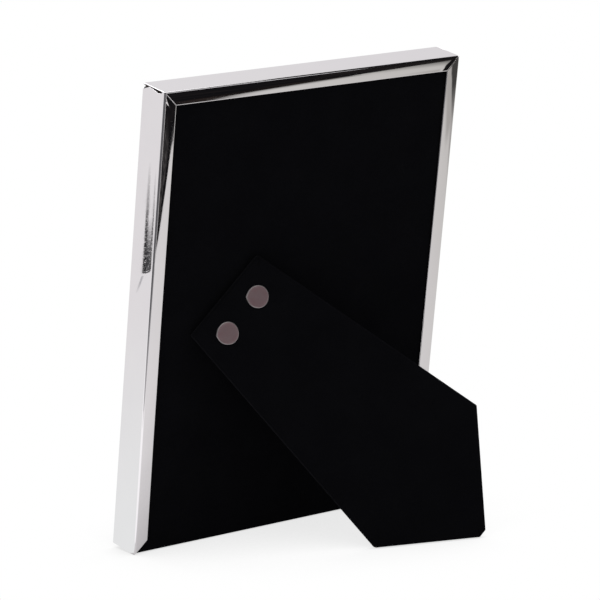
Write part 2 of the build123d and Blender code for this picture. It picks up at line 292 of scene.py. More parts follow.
def fibrous(name, light, dark, fibre_mm, fleck_mm, roughness, depth_mm, stretch=(1, 1, 1)):
    """Pressed fibres, as paper, card and fibreboard have: a mottled body colour, darker flecks
    and a slightly furry surface. Fibre and fleck are their widths."""
    material, tree, surface, place = patterned(name)
    laid = add(tree, "ShaderNodeMapping", {"Vector": place, "Scale": stretch})
    fibre = add(tree, "ShaderNodeTexNoise", {
        "Vector": laid.outputs[0], "Scale": 1 / (fibre_mm * MM), "Detail": 3.0, "Roughness": 0.7})
    fleck = add(tree, "ShaderNodeTexNoise", {
        "Vector": laid.outputs[0], "Scale": 1 / (fleck_mm * MM), "Detail": 5.0, "Roughness": 0.75})
    mottle = add(tree, "ShaderNodeMapRange", {
        "Value": fleck.outputs["Fac"], "From Min": 0.38, "From Max": 0.66})
    body = add(tree, "ShaderNodeMix", {
        FACTOR: mottle.outputs[0], FIRST: colour(light), SECOND: colour(dark)}, data_type="RGBA")
    rough = add(tree, "ShaderNodeMapRange", {
        "Value": fibre.outputs["Fac"], "To Min": roughness - 0.1, "To Max": roughness + 0.05})
    furry = add(tree, "ShaderNodeBump", {
        "Height": fibre.outputs["Fac"], "Strength": 1.0, "Distance": depth_mm * MM})
    shader = add(tree, "ShaderNodeBsdfPrincipled", {
        "Base Color": body.outputs[MIXED], "Roughness": rough.outputs[0],
        "Specular IOR Level": 0.3, "Normal": furry.outputs[0]})
    tree.links.new(shader.outputs[0], surface)
    return material


PLATED_UPRIGHT = plated_steel("nickel_plated_steel_upright", (1.0, 1.0, 0.05))
PLATED_LEVEL = plated_steel("nickel_plated_steel_level", (0.05, 1.0, 1.0))
SLIT_SHADED_STEEL = slit_shaded_steel()
VELVET_CLOTH = black_velvet()
RIVET_NICKEL = dull_nickel("dull_nickel_plate", "#A8999B", "#A5848A")
# The rim's paler colours are partly rubbing wear and partly a painted highlight.
RIVET_RIM_HIGHLIGHT = dull_nickel("rim_wear_and_painted_highlight", "#C0B9BA", "#A9A1A2")
HINGE_STEEL = zinc_steel()
CLEAR_GLASS = float_glass()
# Uncoated wood free paper: even and pale, with cloudy formation.
BLANK_PAPER = fibrous("uncoated_white_paper", "#F3F2EE", "#ECEAE4", 0.25, 4.0, 0.9, 0.01)
# Dyed sugar paper glued to the boards.
BLACK_PAPER = fibrous("black_sugar_paper", "#232324", "#171718", 0.3, 2.0, 0.9, 0.03)
# Kraft liner of corrugated card, with long fibres and dark flecks.
KRAFT_CARD = fibrous("kraft_card", "#C3A986", "#B0946E", 0.35, 2.5, 0.9, 0.03, (1, 1, 0.4))
# Hardboard: wet pressed wood fibre, dark and smooth.
HARDBOARD = fibrous("hardboard", "#8E7259", "#74593F", 0.4, 1.5, 0.65, 0.02)
# Medium density fibreboard sawn to strips, its colour darkened as painted shade for where it shows
# in the corner slit.
SLIT_SHADED_FIBREBOARD = fibrous("fibreboard_darkened_as_shade", "#33271E", "#241B15", 0.35, 1.2, 0.85, 0.05)


# Pieces

def add_piece(name, mesh_maker, materials, body, nodes, sharp=35.0):
    """Turns a bmesh into a smooth shaded piece that rides on a body and stands for its nodes."""
    shape = bmesh.new()
    mesh_maker(shape)
    bmesh.ops.recalc_face_normals(shape, faces=shape.faces)
    for face in shape.faces:
        face.smooth = True
    for edge in shape.edges:
        edge.smooth = len(edge.link_faces) == 2 and edge.calc_face_angle() < radians(sharp)
    mesh = bpy.data.meshes.new(name)
    shape.to_mesh(mesh)
    shape.free()
    for material in materials:
        mesh.materials.append(material)
    piece = bpy.data.objects.new(name, mesh)
    bpy.context.scene.collection.objects.link(piece)
    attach(piece, body)
    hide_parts(*nodes)
    return piece


def rounded_outline(corners, steps=7):
    """A closed outline with an arc at each corner that has a radius."""
    points = []
    for i, (x, y, radius) in enumerate(corners):
        corner = Vector((x, y))
        if radius == 0:
            points.append(corner)
            continue
        back = (Vector(corners[i - 1][:2]) - corner).normalized()
        ahead = (Vector(corners[(i + 1) % len(corners)][:2]) - corner).normalized()
        half = acos(max(-1.0, min(1.0, back.dot(ahead)))) / 2
        centre = corner + (back + ahead).normalized() * radius / sin(half)
        start = corner + back * radius / tan(half) - centre
        end = corner + ahead * radius / tan(half) - centre
        sweep = pi - 2 * half
        for k in range(steps + 1):
            share = k / steps
            spoke = start * sin((1 - share) * sweep) + end * sin(share * sweep)
            points.append(centre + spoke / sin(sweep))
    return points


def with_supports(points, margin=0.08, spacing=1.0):
    """Adds points on the straight runs, close to their ends and evenly between."""
    full = []
    for i, point in enumerate(points):
        ahead = points[(i + 1) % len(points)]
        run = (ahead - point).length
        full.append(point)
        if run < 4 * margin:
            continue
        count = max(1, round(run / spacing))
        shares = [margin / run] + [k / count for k in range(1, count)] + [1 - margin / run]
        full += [point.lerp(ahead, share) for share in shares]
    return full


def join_rings(shape, rings):
    """Makes the faces between each ring of points and the next, and lists each with its ring and
    its place on the ring."""
    count = len(rings[0])
    joined = []
    for ring, (near, far) in enumerate(zip(rings, rings[1:])):
        for i in range(count):
            k = (i + 1) % count
            joined.append((shape.faces.new((near[i], near[k], far[k], far[i])), ring, i))
    return joined


# Rails, as mitred sweeps of the strip's section

# Distances from a rail's end at which the sweep has a ring.
END_RINGS = (
    0, 0.02, 0.05, 0.1, 0.16, 0.24, 0.34, 0.46, 0.6, 0.75, 0.9, 1.2, 1.5, 1.8, 2.1, 2.4, 2.7, 3.0,
    3.3, 3.7, 4.2, 5.0, 6.0, 8.0,
)
MIDDLE_RINGS = [k / 10 - 0.8 for k in range(17)]
# Radii of a rail's ends: at the mitres, at the worn one, and at the end that is turned down.
SEAM_ROUND = 0.22
WORN_SEAM = 0.6
CORNER_ROLL = 0.25
# Radii along a rail: at the lip's edge, the strip's other cut edges, the sight edge and the front.
LIP_EDGE = 0.4
CUT_EDGE = 0.2
SIGHT_EDGE = 0.8
FRONT_EDGE = 0.5
# The lips were folded over a soft tool: each has its own bend radius, slopes by this much beside
# the bend, in degrees, and lies flat towards its edge.
LIP_BENDS = {"top_rail": 0.6, "right_rail": 0.8, "left_rail": 0.4, "bottom_rail": 0.0}
CROWN_SLOPES = {"top_rail": 6.0, "right_rail": 4.2, "left_rail": 5.0, "bottom_rail": 0.0}
CROWN_START = 1.0
CROWN_END = 4.8
# One end of the top lip is bent out, by this slope, past a soft fold that fans out from the corner.
PRESSED_SLOPE = tan(radians(3.2))
PRESSED_FOLD = 1.6
PRESSED_REACH = 4.6
FOLD_START = 0.6
FOLD_FAN = 1.1
# The open slit at one top corner: its width, the depth it starts at, and how much further it gapes
# at the front and nearer the rear, with the reach of each gape.
SLIT_WIDTH = 0.42
SLIT_START = 2.4
FRONT_GAPE, FRONT_REACH = 2.0, 4.4
REAR_GAPE, REAR_REACH, REAR_MIDDLE = 0.8, 4.5, 5.0
# A wall that stops short at its end has its full length again this far from it, and the strip's
# other sides this far from the wall.
END_FADE = 8.0
WALL_FADE = 1.5 * STRIP
# Without a lip at the bottom to hold it, the rear of one side rail has been squeezed in there, and
# less and less further up.
SQUEEZE = 0.6
SQUEEZE_EASE = 1.3
# A run of solder on that rail's lip, near the top corner: start and end, down from the frame's top
# and inwards, with its height and half width.
SOLDER_RUN = (Vector((3.5, 1.2)), Vector((7.4, 3.5)))
SOLDER_HEIGHT = 0.1
SOLDER_WIDTH = 0.55
# The rolled strip is slightly wavy, and has ripples near its ends: their height, and their length
# along and across the strip.
WAVE_HEIGHT, WAVE_LONG, WAVE_WIDE = 0.006, 14, 9
RIPPLE_HEIGHT, RIPPLE_LONG, RIPPLE_WIDE = 0.02, 5, 6
RIPPLE_REACH = 30.0


def crown_drop(inward, slope):
    """How far the lip's rear face lies below its highest line."""
    width = CROWN_END - CROWN_START
    share = max(0.0, (CROWN_END - inward) / width)
    if share <= 1:
        return slope * width * share ** 2 / 2
    return slope * (width / 2 + CROWN_START - inward)


def rail_section(has_lip, slope, bend):
    """The strip's section: inwards from the wall, and forwards from the frame's rear plane."""
    face_back = FRAME_DEPTH - STRIP
    glass_front = FRAME_DEPTH - SIGHT_RETURN
    if has_lip:
        rear = [
            (0, 0, bend),
            (LIP_WIDTH, 0, LIP_EDGE),
            (LIP_WIDTH, STRIP, CUT_EDGE),
            (STRIP, STRIP, 0),
        ]
    else:
        rear = [(0, CORE_DEPTH, CUT_EDGE), (STRIP, CORE_DEPTH, CUT_EDGE)]
    front = [
        (STRIP, face_back, 0),
        (FACE_WIDTH - STRIP, face_back, 0),
        (FACE_WIDTH - STRIP, glass_front, CUT_EDGE),
        (FACE_WIDTH, glass_front, CUT_EDGE),
        (FACE_WIDTH, FRAME_DEPTH, SIGHT_EDGE),
        (0, FRAME_DEPTH, FRONT_EDGE),
    ]
    section = with_supports(rounded_outline(rear + front), spacing=0.6)
    for point in section:
        point.y += crown_drop(point.x, slope) * max(0.0, 1 - point.y / STRIP)
    return section


def outward(section):
    """For each point of a section, the direction out of the strip, or nothing inside the strip."""
    slack = 0.01
    near = STRIP - slack
    wide = FACE_WIDTH - STRIP + slack
    deep = FRAME_DEPTH - STRIP + slack
    found = []
    for i, point in enumerate(section):
        along = section[(i + 1) % len(section)] - section[i - 1]
        away = Vector((along.y, -along.x)).normalized()
        inside = near < point.x < wide and near < point.y < deep
        found.append(Vector((0, 0)) if inside else away)
    return found


def rounding(distance, radius):
    """How far a rounded end has dropped at a distance from it."""
    if distance >= radius:
        return 0.0
    return radius - sqrt(radius ** 2 - (radius - distance) ** 2)


def pressed_rise(past_fold):
    """How far the bent end of a lip stands out, past the start of its fold."""
    if past_fold <= 0:
        return 0.0
    if past_fold < PRESSED_FOLD:
        return PRESSED_SLOPE * past_fold ** 2 / (2 * PRESSED_FOLD)
    return PRESSED_SLOPE * (past_fold - PRESSED_FOLD / 2)


def solder_rise(spot):
    """How far the run of solder stands out at a spot of the lip; it thins out to its end."""
    start, end = SOLDER_RUN
    run = end - start
    share = max(0.0, min(1.0, (spot - start).dot(run) / run.length_squared))
    narrowing = 1.15 - share
    thinning = 1.1 - share
    aside = (spot - start - run * share).length / (SOLDER_WIDTH * narrowing)
    return SOLDER_HEIGHT * thinning * max(0.0, 1 - aside ** 2) ** 2


def strip_wave(along, spot, half):
    """How far the strip's waves and ripples stand out at a spot of its section."""
    wave = noise.noise(Vector((along / WAVE_LONG, spot.x / WAVE_WIDE, spot.y / WAVE_WIDE)))
    ripple = noise.noise(Vector((
        along / RIPPLE_LONG, spot.x / RIPPLE_WIDE, spot.y / RIPPLE_WIDE + half)))
    near_end = max(0.0, 1 - (half - abs(along)) / RIPPLE_REACH) ** 2
    return WAVE_HEIGHT * wave + RIPPLE_HEIGHT * near_end * ripple


def corner_slit(depth):
    """How far the side wall stops below the turned down end of the top rail: open at the front
    and again nearer the rear, all but closed between and at the rear corner."""
    if depth < SLIT_START:
        return 0.0
    front = FRONT_GAPE * max(0.0, 1 - (FRAME_DEPTH - depth) / FRONT_REACH)
    rear = REAR_GAPE * max(0.0, 1 - abs(depth - REAR_MIDDLE) / REAR_REACH)
    return CORNER_ROLL + SLIT_WIDTH + front + rear


def rail_maker(length, has_lip, crown, bend, seat, rolled=(), short=(), pressed=(), worn=(),
               soldered=(), squeezed=0, follows=()):
    """A mesh maker for one rail. Seat places its length, inward and depth on the frame. The ends
    named in rolled turn down over the next rail, whose wall stops short of them. The lip's end is
    bent where named in pressed, more rounded where named in worn and carries solder where named in
    soldered. The rear is squeezed in towards the end named in squeezed, and the ends named in
    follows stop short to keep to it."""
    half = length / 2
    section = rail_section(has_lip, tan(radians(crown)), bend)
    away = outward(section)
    rings = [(-1, e) for e in END_RINGS] + [(f, 0) for f in MIDDLE_RINGS]
    rings += [(1, e) for e in reversed(END_RINGS)]

    def placed(point, normal, share, distance):
        """A point of the section on one ring: by its share of the half length, -1 and 1 at the
        ends, and its distance from the end."""
        at_end = abs(share) == 1
        drop = 0.0
        stop = 0.0
        if at_end:
            radius = WORN_SEAM if share in worn and point.y < STRIP else SEAM_ROUND
            if share in rolled and point.x < STRIP:
                radius = CORNER_ROLL
            drop = rounding(distance, radius)
            fade = max(0.0, 1 - distance / END_FADE)
            if share in short:
                on_wall = max(0.0, 1 - point.x / WALL_FADE)
                stop = on_wall * corner_slit(point.y) * fade
            if share in follows:
                stop = SQUEEZE * (1 - point.y / FRAME_DEPTH) * fade
        moved = point - normal * drop
        if point.y < STRIP:
            on_rear = 1 - point.y / STRIP
            if share in pressed:
                past_fold = min(FOLD_START + FOLD_FAN * point.x, PRESSED_REACH) - distance
                moved.y -= pressed_rise(past_fold) * on_rear
            if share in soldered:
                moved.y -= solder_rise(Vector((point.x + distance, point.x))) * on_rear
        along = share * (half - point.x) - copysign(distance + stop, share) * at_end
        moved = moved + normal * strip_wave(along, moved, half)
        toward_end = max(0.0, squeezed * along / half) ** SQUEEZE_EASE
        moved.x += SQUEEZE * toward_end * (1 - moved.y / FRAME_DEPTH)
        return seat(along, moved.x, moved.y)

    def make(shape):
        grid = []
        for share, distance in rings:
            grid.append([
                shape.verts.new(placed(point, normal, share, distance))
                for point, normal in zip(section, away)])
        # The faces inside the strip, and the caps of the ends round the corner slit, take the steel
        # darkened as painted shade.
        for side, _, i in join_rings(shape, grid):
            inside = away[i].length == 0 and away[(i + 1) % len(away)].length == 0
            side.material_index = 1 if inside else 0
        for share, end in ((-1, grid[0]), (1, list(reversed(grid[-1])))):
            cap = shape.faces.new(end)
            cap.material_index = 1 if share in (*rolled, *short) else 0

    return make


HALF_WIDTH = FRAME_WIDTH / 2
HALF_HEIGHT = FRAME_HEIGHT / 2


def top_seat(along, inward, depth):
    """A point of the top rail."""
    return on_frame(along, FRAME_HEIGHT - inward, depth)


def bottom_seat(along, inward, depth):
    """A point of the bottom rail."""
    return on_frame(along, inward, depth)


def right_seat(along, inward, depth):
    """A point of the right rail, as seen from the front."""
    return on_frame(HALF_WIDTH - inward, HALF_HEIGHT + along, depth)


def left_seat(along, inward, depth):
    """A point of the left rail, as seen from the front."""
    return on_frame(inward - HALF_WIDTH, HALF_HEIGHT + along, depth)


def dress_rails():
    """The four plated rails, each with what happened to its ends."""
    top_ends = {"rolled": (1,), "pressed": (-1,), "worn": (-1,)}
    right_ends = {"short": (1,), "soldered": (1,), "squeezed": -1}
    rails = {
        "top_rail": (FRAME_WIDTH, True, top_seat, top_ends, PLATED_LEVEL),
        "bottom_rail": (FRAME_WIDTH, False, bottom_seat, {"follows": (1,)}, PLATED_LEVEL),
        "right_rail": (FRAME_HEIGHT, True, right_seat, right_ends, PLATED_UPRIGHT),
        "left_rail": (FRAME_HEIGHT, True, left_seat, {}, PLATED_UPRIGHT),
    }
    for node, (length, has_lip, seat, ends, material) in rails.items():
        maker = rail_maker(length, has_lip, CROWN_SLOPES[node], LIP_BENDS[node], seat, **ends)
        add_piece(f"plated_{node}", maker, [material, SLIT_SHADED_STEEL], "frame", [node])


# Velvet covers, as shallow trays glued over the boards

# Spacing of a cover's mesh, and steps round its soft edge.
COVER_STEP = 4.0
EDGE_STEPS = 5
# Corner and edge radii of the two covers.
PANEL_CORNER, PANEL_EDGE = 1.0, 0.45
STRUT_CORNER, STRUT_EDGE = 0.8, 1.2
# Unevenness of the pile: its height, and the width of its patches.
PANEL_UNEVEN, PANEL_PATCH = 0.06, 17
STRUT_UNEVEN, STRUT_PATCH = 0.04, 15
# The pile is pressed flat at the lips and stands up again over this width.
LIP_FADE = 8.0
# The cloth stands up round a rivet head: its height, its distance from the head and its half width.
RIVET_PUFF, PUFF_AWAY, PUFF_WIDTH = 0.12, 1.0, 2.0
# Levels that differ by less than this are the same.
SAME_LEVEL = 1e-6


def is_level(face, level):
    """Whether a face of a cover lies at one level."""
    return all(abs(v.co.z - level) < SAME_LEVEL for v in face.verts)


def tray_maker(corners, outer, inner, edge, seat, swell):
    """A mesh maker for a cover with soft edges: its rim stands at the inner level, its face lies at
    the outer one, and swell lifts each point of the face."""
    sign = copysign(1.0, inner - outer)

    def make(shape):
        rim = with_supports(rounded_outline(corners, steps=4), margin=0.4, spacing=COVER_STEP)
        bend = outer + sign * edge
        levels = [(0.0, inner), (0.0, (inner + bend) / 2), (0.0, bend)]
        for k in range(1, EDGE_STEPS + 1):
            turn = k / EDGE_STEPS * pi / 2
            levels.append((edge * (1 - cos(turn)), outer + sign * edge * (1 - sin(turn))))
        middle = sum(rim, Vector((0, 0))) / len(rim)
        rings = []
        for inset, level in levels:
            ring = []
            for i, point in enumerate(rim):
                along = (rim[(i + 1) % len(rim)] - rim[i - 1]).normalized()
                side = Vector((-along.y, along.x))
                if side.dot(middle - point) < 0:
                    side = -side
                spot = point + side * inset
                ring.append(shape.verts.new((spot.x, spot.y, level)))
            rings.append(ring)
        join_rings(shape, rings)
        shape.faces.new(rings[-1])
        # The face is cut into small squares, so that it can swell.
        low = [min(p[axis] for p in rim) for axis in (0, 1)]
        high = [max(p[axis] for p in rim) for axis in (0, 1)]
        for axis in (0, 1):
            cuts = int((high[axis] - low[axis]) / COVER_STEP)
            for k in range(1, cuts + 1):
                at = [0.0, 0.0, 0.0]
                way = [0.0, 0.0, 0.0]
                at[axis] = low[axis] + k * COVER_STEP
                way[axis] = 1.0
                patch = [f for f in shape.faces if is_level(f, outer)]
                edges = dict.fromkeys(e for f in patch for e in f.edges)
                verts = dict.fromkeys(v for f in patch for v in f.verts)
                bmesh.ops.bisect_plane(
                    shape, geom=[*verts, *edges, *patch], plane_co=at, plane_no=way, dist=1e-5)
        for vert in shape.verts:
            spot = vert.co.copy()
            lift = swell(spot.x, spot.y) if abs(spot.z - outer) < SAME_LEVEL else 0.0
            vert.co = seat(spot.x, spot.y, spot.z - sign * lift)

    return make


def thicken(piece, thickness):
    """Gives a cover its cloth thickness, inwards."""
    cloth = piece.modifiers.new("cloth", "SOLIDIFY")
    cloth.thickness = thickness * MM
    cloth.offset = -1.0


def panel_swell(across, up):
    """The pile stands a little uneven, but lies flat under the lips."""
    edge = min(across + PANEL_WIDTH / 2, PANEL_WIDTH / 2 - across, PANEL_HIGH - up) - LIP_WIDTH
    fade = max(0.0, min(1.0, edge / LIP_FADE))
    return PANEL_UNEVEN * fade * noise.noise(Vector((across / PANEL_PATCH, up / PANEL_PATCH, 3.1)))


def strut_swell(along, up):
    """The cloth stands up a little round each rivet head, which presses it down."""
    lift = STRUT_UNEVEN * noise.noise(Vector((along / STRUT_PATCH, up / STRUT_PATCH, 8.7)))
    for place in RIVET_PLACES:
        gap = (Vector((along, up)) - Vector(place)).length - RIVET_RADIUS
        if gap > -PUFF_AWAY:
            lift += RIVET_PUFF * max(0.0, 1 - abs(gap - PUFF_AWAY) / PUFF_WIDTH)
    return lift


def dress_velvet():
    """The velvet covers of the panel and the strut, each given its cloth thickness."""
    half = PANEL_WIDTH / 2
    panel = [(-half, PANEL_LOW), (half, PANEL_LOW), (half, PANEL_HIGH), (-half, PANEL_HIGH)]
    back_cover = tray_maker(
        [(*corner, PANEL_CORNER) for corner in panel], PANEL_OUTER, PANEL_INNER, PANEL_EDGE,
        on_frame, panel_swell)
    back = add_piece("velvet_back_cover", back_cover, [VELVET_CLOTH], "back",
                     ["back_velvet"])
    thicken(back, VELVET)

    strut_cover = tray_maker(
        [(*corner, STRUT_CORNER) for corner in STRUT_CORNERS], STRUT_OUTER, STRUT_INNER, STRUT_EDGE,
        on_strut, strut_swell)
    strut = add_piece("velvet_strut_cover", strut_cover, [VELVET_CLOTH], "strut",
                      ["strut_velvet"])
    thicken(strut, VELVET)


# Rivets

# The head's outline from its middle outwards, then the shank and the tail: radius and level.
RIVET_OUTLINE = [
    (0.25, 0.56), (0.7, 0.655), (1.4, 0.665), (2.4, 0.67), (3.2, 0.675), (3.75, 0.68), (3.98, 0.70),
    (4.18, 0.77), (4.32, 0.80), (4.46, 0.80), (4.6, 0.76), (4.72, 0.66), (4.78, 0.52), (4.8, 0.3),
    (4.77, 0.1), (4.65, 0.0), (1.5, 0.0), (1.5, -3.9), (2.15, -3.9), (2.3, -4.05), (2.3, -4.25),
    (2.15, -4.4), (0.8, -4.4),
]
RIVET_SPOKES = 72
RIM_FROM = 4.4
# What the press left: heads a little out of round and uneven, with a burr at one side of the rim.
OUT_OF_ROUND = 0.06
HEAD_UNEVEN = 0.03
HEAD_TOP = 0.6
SHANK_WITHIN = 1.6
BURR = 0.5
BURR_TURNS = (2.5, 2.3)
BURR_NARROW = 60
BURR_AT_RIM = 8


def rivet_maker(shape):
    """Both rivets, each turned from its outline: head, shank and tail."""
    for number, (x, y) in enumerate(RIVET_PLACES):
        rings = []
        for radius, level in RIVET_OUTLINE:
            reach = radius / RIVET_RADIUS
            ring = []
            for k in range(RIVET_SPOKES):
                turn = 2 * pi * k / RIVET_SPOKES
                spread = radius
                lift = 0.0
                if level >= 0 and radius > SHANK_WITHIN:
                    burr = max(0.0, cos(turn - BURR_TURNS[number])) ** BURR_NARROW
                    spread += OUT_OF_ROUND * reach * sin(3 * turn + number)
                    spread += BURR * reach ** BURR_AT_RIM * burr
                if level > HEAD_TOP:
                    lift = HEAD_UNEVEN * noise.noise(Vector((
                        radius * cos(turn), radius * sin(turn), 5.0 * number)))
                spot = on_strut(
                    x + spread * cos(turn), y + spread * sin(turn), STRUT_OUTER + level + lift)
                ring.append(shape.verts.new(spot))
            rings.append(ring)
        for side, ring, _ in join_rings(shape, rings):
            side.material_index = 1 if RIVET_OUTLINE[ring][0] > RIM_FROM else 0
        shape.faces.new(rings[0])
        shape.faces.new(list(reversed(rings[-1])))


def dress_rivets():
    """The strut's rivets, with a paler rim that is partly rubbed wear and partly a painted
    highlight.
    """
    add_piece("nickel_strut_rivets", rivet_maker, [RIVET_NICKEL, RIVET_RIM_HIGHLIGHT], "strut",
              ["strut_rivets"])


# Glass pane: its cut size, its faces forwards from the frame's rear plane, and its rubbed edges

PANE_WIDTH = 130.0
PANE_LOW = 11.5
PANE_HIGH = 191.5
PANE_FRONT = 12.4
PANE_BACK = 10.45
PANE_RUBBED = 0.3


def pane_maker(shape):
    """The cut pane, with its edges rubbed down and its back a hair off the paper."""
    half = PANE_WIDTH / 2
    levels = [
        (PANE_RUBBED, PANE_FRONT), (0.0, PANE_FRONT - PANE_RUBBED),
        (0.0, PANE_BACK + PANE_RUBBED), (PANE_RUBBED, PANE_BACK),
    ]
    rings = []
    for inset, depth in levels:
        side = half - inset
        low = PANE_LOW + inset
        high = PANE_HIGH - inset
        corners = [(-side, low), (side, low), (side, high), (-side, high)]
        rings.append([shape.verts.new(on_frame(x, up, depth)) for x, up in corners])
    join_rings(shape, rings)
    shape.faces.new(rings[0])
    shape.faces.new(list(reversed(rings[-1])))


def dress_glass():
    """The glass, which stands clear of the paper behind it."""
    pane = add_piece("cut_glass_pane", pane_maker, [CLEAR_GLASS], "frame", ["glass"])
    # Clear glass lets the lamps' light through to the paper behind it.
    pane.visible_shadow = False
    pane.visible_diffuse = False


# Finishes of the solids that are shown as they are

SOLID_FINISHES = [
    (SLIT_SHADED_FIBREBOARD, ["core_top", "core_bottom", "core_right", "core_left"]),
    (BLANK_PAPER, ["insert_sheet"]),
    (KRAFT_CARD, ["backing_pad"]),
    (HARDBOARD, ["back_board", "strut_board"]),
    (BLACK_PAPER, ["back_liner", "strut_lining"]),
    (HINGE_STEEL, ["hinge_back_leaf", "hinge_strut_leaf", "hinge_pin"]),
    (RIVET_NICKEL, ["hinge_back_rivets"]),
]


def finish_solids():
    """Gives each of these solids its material."""
    for material, nodes in SOLID_FINISHES:
        for node in nodes:
            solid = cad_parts[node]
            solid.data.materials.clear()
            solid.data.materials.append(material)


# Studio: white surroundings, a white table, cards that only polished metal shows, and lamps

LAMP_WATTS = 10.0
# How strongly the white surroundings light matt surfaces.
AMBIENT = 0.5


def seen_directly(tree):
    """1 for rays that show a surface in the picture: to the camera, off metal or through glass."""
    path = add(tree, "ShaderNodeLightPath").outputs
    sharp = add(tree, "ShaderNodeMath", {
        0: path["Is Glossy Ray"], 1: path["Is Transmission Ray"]}, operation="MAXIMUM")
    return add(tree, "ShaderNodeMath", {
        0: path["Is Camera Ray"], 1: sharp.outputs[0]}, operation="MAXIMUM").outputs[0]


def light_world():
    """White surroundings, at full strength where the picture shows them."""
    world = bpy.data.worlds.new("white_studio")
    world.use_nodes = True
    bpy.context.scene.world = world
    tree = world.node_tree
    tree.nodes.clear()
    strength = add(tree, "ShaderNodeMapRange", {
        "Value": seen_directly(tree), "To Min": AMBIENT, "To Max": 1.0})
    sky = add(tree, "ShaderNodeBackground", {
        "Color": (1, 1, 1, 1), "Strength": strength.outputs[0]})
    add(tree, "ShaderNodeOutputWorld", {"Surface": sky.outputs[0]})


def stage_card(name, points, material, **seen_by):
    """A flat card of the studio with four corners, and the kinds of ray that see it."""
    mesh = bpy.data.meshes.new(name)
    mesh.from_pydata(points, [], [range(4)])
    spread = mesh.uv_layers.new(name="spread")
    for corner, share in zip(spread.data, [(0, 0), (1, 0), (1, 1), (0, 1)]):
        corner.uv = share
    mesh.materials.append(material)
    card = bpy.data.objects.new(name, mesh)
    bpy.context.scene.collection.objects.link(card)
    for ray, seen in seen_by.items():
        setattr(card, f"visible_{ray}", seen)


def table_paint():
    """Matt white. The photograph's table is blown out to plain white, so the camera looks through
    it to the white surroundings, which also shows a panel that has slid below its level. Only the
    object's shadow stays on it. Metal shows it white, shaded near the object and to one side."""
    material, tree, surface = new_material("matt_white_table")
    path = add(tree, "ShaderNodeLightPath").outputs
    matt = add(tree, "ShaderNodeBsdfDiffuse", {"Color": colour("#EDEDED")})
    # Shadow within 80 mm of the object.
    free = add(tree, "ShaderNodeAmbientOcclusion", {"Distance": 0.08}, samples=8).outputs["AO"]
    place = add(tree, "ShaderNodeTexCoord").outputs["Object"]
    aside = add(tree, "ShaderNodeSeparateXYZ", {0: place}).outputs[0]
    lit = add(tree, "ShaderNodeMapRange", {"Value": aside, "From Min": -0.5, "From Max": 0.1})
    tone = add(tree, "ShaderNodeMix", {
        FACTOR: lit.outputs[0], FIRST: colour("#D6D5CF"), SECOND: colour("#FFFEFE")},
        data_type="RGBA")
    shaded = add(tree, "ShaderNodeMapRange", {
        "Value": free, "From Min": 0.4, "From Max": 0.97, "To Min": 0.5, "To Max": 1.0})
    bright = add(tree, "ShaderNodeEmission", {
        "Color": tone.outputs[MIXED], "Strength": shaded.outputs[0]})
    clear = add(tree, "ShaderNodeBsdfTransparent")
    shadow = add(tree, "ShaderNodeEmission", {"Color": colour("#3A3A3C"), "Strength": 1.0})
    dark = add(tree, "ShaderNodeMapRange", {
        "Value": free, "From Min": 0.8, "From Max": 0.1, "To Min": 0.0, "To Max": 0.3})
    seen = add(tree, "ShaderNodeMixShader", {
        0: dark.outputs[0], 1: clear.outputs[0], 2: shadow.outputs[0]})
    shown = add(tree, "ShaderNodeMixShader", {
        0: seen_directly(tree), 1: matt.outputs[0], 2: bright.outputs[0]})
    mixed = add(tree, "ShaderNodeMixShader", {
        0: path["Is Camera Ray"], 1: shown.outputs[0], 2: seen.outputs[0]})
    tree.links.new(mixed.outputs[0], surface)
    return material


def card_paint(name, code, dim=None, patch_mm=60.0, strength=1.0, soft_ends=0.0, soft_sides=0.0,
               torn=0.0, fading=0.0):
    """Evenly lit card of one colour, or mottled with a second one. Its ends or sides can fade out
    over a share of the card, it can fade over a share before its last side, and be torn to rags."""
    material, tree, surface = new_material(name)
    laid = add(tree, "ShaderNodeUVMap").outputs[0]
    spread = add(tree, "ShaderNodeSeparateXYZ", {0: laid}).outputs
    lit = add(tree, "ShaderNodeEmission", {"Color": colour(code), "Strength": strength})
    if dim:
        place = add(tree, "ShaderNodeTexCoord").outputs["Object"]
        patch = add(tree, "ShaderNodeTexNoise", {
            "Vector": place, "Scale": 1 / (patch_mm * MM), "Detail": 4.0, "Roughness": 0.6})
        share = add(tree, "ShaderNodeMapRange", {
            "Value": patch.outputs["Fac"], "From Min": 0.45, "From Max": 0.75})
        mottled = add(tree, "ShaderNodeMix", {
            FACTOR: share.outputs[0], FIRST: colour(code), SECOND: colour(dim)}, data_type="RGBA")
        tree.links.new(mottled.outputs[MIXED], lit.inputs["Color"])
    covers = []
    for share, soft in ((spread[0], soft_ends), (spread[1], soft_sides)):
        if soft:
            inside = add(tree, "ShaderNodeMath", {0: share, 1: 0.5}, operation="PINGPONG")
            covers.append(add(tree, "ShaderNodeMapRange", {
                "Value": inside.outputs[0], "From Max": soft}, interpolation_type="SMOOTHSTEP"))
    if torn:
        place = add(tree, "ShaderNodeTexCoord").outputs["Object"]
        # The rags lie level, wider than high.
        level = add(tree, "ShaderNodeMapping", {"Vector": place, "Scale": (0.6, 0.6, 1.1)})
        rag = add(tree, "ShaderNodeTexNoise", {
            "Vector": level.outputs[0], "Scale": 1 / (torn * MM), "Detail": 2.0, "Roughness": 0.6})
        covers.append(add(tree, "ShaderNodeMapRange", {
            "Value": rag.outputs["Fac"], "From Min": 0.35, "From Max": 0.45}))
    if fading:
        covers.append(add(tree, "ShaderNodeMapRange", {
            "Value": spread[1], "From Min": 1 - fading, "To Min": 1.0, "To Max": 0.0}))
    shown = lit.outputs[0]
    for cover in covers:
        clear = add(tree, "ShaderNodeBsdfTransparent")
        shown = add(tree, "ShaderNodeMixShader", {
            0: cover.outputs[0], 1: clear.outputs[0], 2: shown}).outputs[0]
    tree.links.new(shown, surface)
    return material


